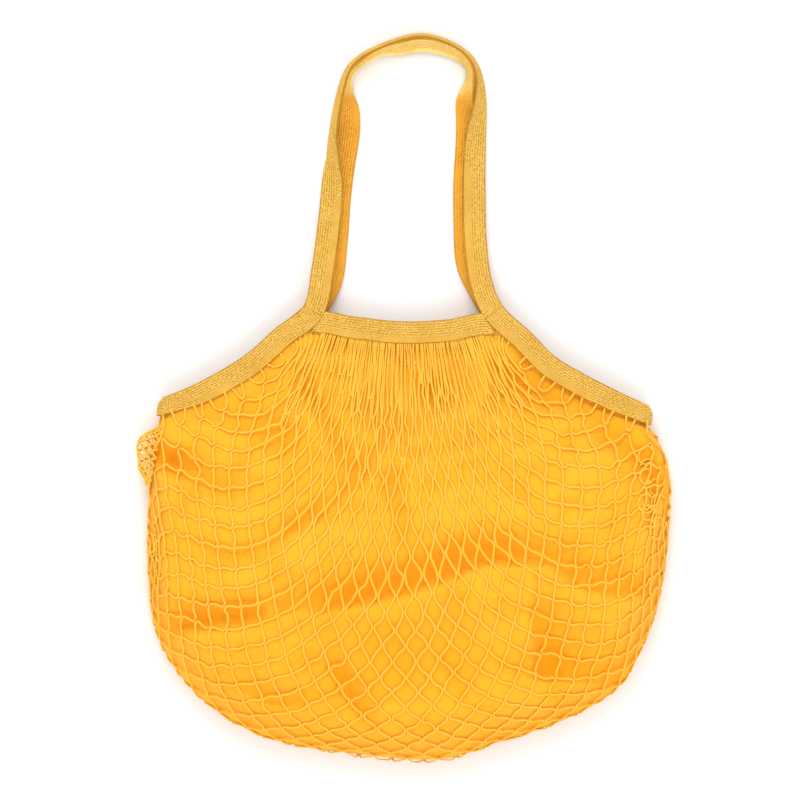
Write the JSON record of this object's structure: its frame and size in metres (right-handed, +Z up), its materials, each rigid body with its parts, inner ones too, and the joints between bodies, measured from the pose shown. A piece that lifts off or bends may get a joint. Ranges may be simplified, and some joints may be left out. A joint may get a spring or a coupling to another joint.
{
  "type": "lined net shopping bag",
  "caption": "Net shopping bag with a cotton lining, a gathered mouth and long tape handles, lying on its back with its front up.",
  "frame": {"origin": "on the floor, under the middle of the bag's bounding box, as the bag lies on its back", "axes": "+Z up out of the bag's front, +Y from the pouch towards the handles' top, +X to the right as the front is seen"},
  "size_m": [0.4023, 0.549, 0.061],
  "materials": {
    "net": "matt knitted cotton thread, warm yellow",
    "lining": "matt plain-woven cotton, golden yellow",
    "tape": "matt ribbed knitted cotton tape, pale ochre yellow"
  },
  "bodies": {
    "root": {"net": "net", "lining": "lining", "front_handle": "tape", "back_handle": "tape", "left_side_binding": "tape", "right_side_binding": "tape", "front_mouth_band": "tape", "back_mouth_band": "tape"}
  },
  "joints": []
}
